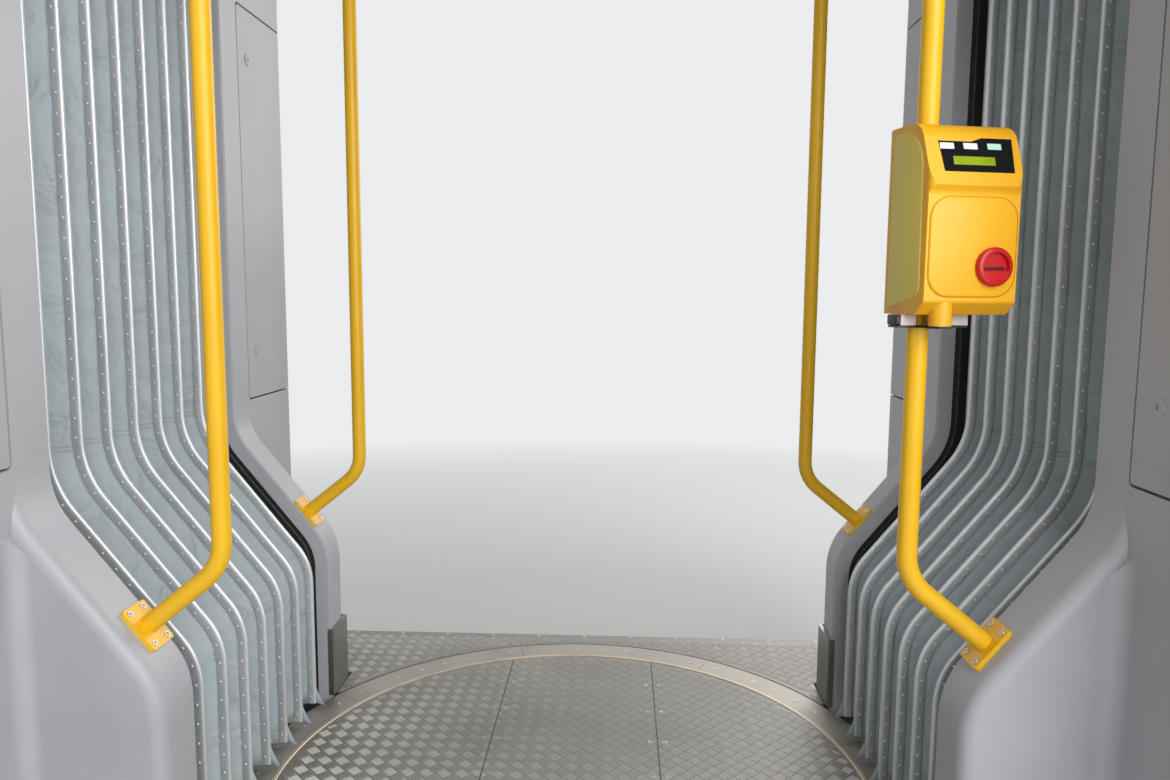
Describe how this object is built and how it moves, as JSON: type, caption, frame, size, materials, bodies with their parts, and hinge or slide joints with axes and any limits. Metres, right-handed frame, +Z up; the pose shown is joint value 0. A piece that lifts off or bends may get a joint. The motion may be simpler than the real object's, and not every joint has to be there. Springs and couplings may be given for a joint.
{
  "type": "tram articulation gangway",
  "caption": "Walk-through joint between two tram cars: turning floor, bellows with clamp hoops, portal linings with service doors, grab poles, ticket validator, body shell ends and pivot.",
  "frame": {"origin": "on the vertical pivot axis, on the ground plane of the two end frames", "axes": "+X to the right, +Y along the tram from the near car to the far car, +Z up"},
  "size_m": [2.4, 1.7, 2.83],
  "materials": {
    "lining": "moulded lining, satin light grey",
    "door": "moulded cover, satin light grey",
    "shell": "plain pale body paint",
    "fitting": "white moulded fitting",
    "rubber": "black rubber seal",
    "profile": "anodised clamp profile",
    "stainless": "brushed stainless sheet",
    "frame_steel": "dark grey painted steel",
    "tread": "five-bar tread plate",
    "pole": "yellow powder coat",
    "bearing": "machined steel",
    "fabric": "coated bellows fabric, blue-grey",
    "housing": "yellow moulded housing",
    "window": "dark display window",
    "knob": "red knob",
    "bracket": "pale bracket",
    "foot": "black foot plate"
  },
  "bodies": {
    "near": {"bearing_outer_race": "bearing", "bellows_fold_1": "fabric", "bellows_fold_2": "fabric", "bellows_fold_3": "fabric", "bellows_fold_4": "fabric", "near_body_shell": "shell", "near_car_floor": "tread", "near_console": "frame_steel", "near_cross_frame": "frame_steel", "near_end_profile": "profile", "near_grab_poles": "pole", "near_header_fittings": "fitting", "near_kick_plates": "stainless", "near_lining": "lining", "near_seal": "rubber", "validator_bracket": "bracket", "validator_display": "window", "validator_foot": "foot", "validator_housing": "housing", "validator_knob": "knob"},
    "far": {"bearing_inner_race": "bearing", "bellows_fold_5": "fabric", "bellows_fold_6": "fabric", "bellows_fold_7": "fabric", "bellows_fold_8": "fabric", "far_body_shell": "shell", "far_car_floor": "tread", "far_console": "frame_steel", "far_cross_frame": "frame_steel", "far_end_profile": "profile", "far_grab_poles": "pole", "far_header_fittings": "fitting", "far_kick_plates": "stainless", "far_lining": "lining", "far_seal": "rubber"},
    "turntable": {"floor_carrier": "frame_steel", "floor_panels": "tread", "floor_rim": "stainless", "floor_ring": "stainless"},
    "near_left_door": {"near_left_door": "door"},
    "near_right_door": {"near_right_door": "door"},
    "far_left_door": {"far_left_door": "door"},
    "far_right_door": {"far_right_door": "door"},
    "hoop_1": {"hoop_1": "profile"},
    "hoop_2": {"hoop_2": "profile"},
    "hoop_3": {"hoop_3": "profile"},
    "hoop_4": {"hoop_4": "profile"},
    "hoop_5": {"hoop_5": "profile"},
    "hoop_6": {"hoop_6": "profile"},
    "hoop_7": {"hoop_7": "profile"}
  },
  "joints": [
    {"name": "articulation", "type": "hinge", "parent": "near", "child": "far", "pos_m": [0, 0, 0], "axis": [0, 0, 1], "range_deg": [-25, 25], "deforming": ["bellows_fold_1", "bellows_fold_2", "bellows_fold_3", "bellows_fold_4", "bellows_fold_5", "bellows_fold_6", "bellows_fold_7", "bellows_fold_8"]},
    {"name": "turntable_turn", "type": "hinge", "parent": "near", "child": "turntable", "pos_m": [0, 0, 0], "axis": [0, 0, 1], "range_deg": [-12.5, 12.5]},
    {"name": "hoop_1_turn", "type": "hinge", "parent": "near", "child": "hoop_1", "pos_m": [0, 0, 0], "axis": [0, 0, 1], "range_deg": [-3.12, 3.12]},
    {"name": "hoop_2_turn", "type": "hinge", "parent": "near", "child": "hoop_2", "pos_m": [0, 0, 0], "axis": [0, 0, 1], "range_deg": [-6.25, 6.25]},
    {"name": "hoop_3_turn", "type": "hinge", "parent": "near", "child": "hoop_3", "pos_m": [0, 0, 0], "axis": [0, 0, 1], "range_deg": [-9.38, 9.38]},
    {"name": "hoop_4_turn", "type": "hinge", "parent": "near", "child": "hoop_4", "pos_m": [0, 0, 0], "axis": [0, 0, 1], "range_deg": [-12.5, 12.5]},
    {"name": "hoop_5_turn", "type": "hinge", "parent": "near", "child": "hoop_5", "pos_m": [0, 0, 0], "axis": [0, 0, 1], "range_deg": [-15.62, 15.62]},
    {"name": "hoop_6_turn", "type": "hinge", "parent": "near", "child": "hoop_6", "pos_m": [0, 0, 0], "axis": [0, 0, 1], "range_deg": [-18.75, 18.75]},
    {"name": "hoop_7_turn", "type": "hinge", "parent": "near", "child": "hoop_7", "pos_m": [0, 0, 0], "axis": [0, 0, 1], "range_deg": [-21.88, 21.88]},
    {"name": "near_left_door_hinge", "type": "hinge", "parent": "near", "child": "near_left_door", "pos_m": [-1.085, -0.79, 1.12], "axis": [0, 0, -1], "range_deg": [0, 100]},
    {"name": "near_right_door_hinge", "type": "hinge", "parent": "near", "child": "near_right_door", "pos_m": [1.085, -0.79, 1.12], "axis": [0, 0, 1], "range_deg": [0, 100]},
    {"name": "far_left_door_hinge", "type": "hinge", "parent": "far", "child": "far_left_door", "pos_m": [-1.085, 0.79, 1.12], "axis": [0, 0, 1], "range_deg": [0, 100]},
    {"name": "far_right_door_hinge", "type": "hinge", "parent": "far", "child": "far_right_door", "pos_m": [1.085, 0.79, 1.12], "axis": [0, 0, -1], "range_deg": [0, 100]}
  ],
  "couplings": [
    {"joint": "turntable_turn", "follows": "articulation", "ratio": 0.5},
    {"joint": "hoop_1_turn", "follows": "articulation", "ratio": 0.125},
    {"joint": "hoop_2_turn", "follows": "articulation", "ratio": 0.25},
    {"joint": "hoop_3_turn", "follows": "articulation", "ratio": 0.375},
    {"joint": "hoop_4_turn", "follows": "articulation", "ratio": 0.5},
    {"joint": "hoop_5_turn", "follows": "articulation", "ratio": 0.625},
    {"joint": "hoop_6_turn", "follows": "articulation", "ratio": 0.75},
    {"joint": "hoop_7_turn", "follows": "articulation", "ratio": 0.875}
  ]
}
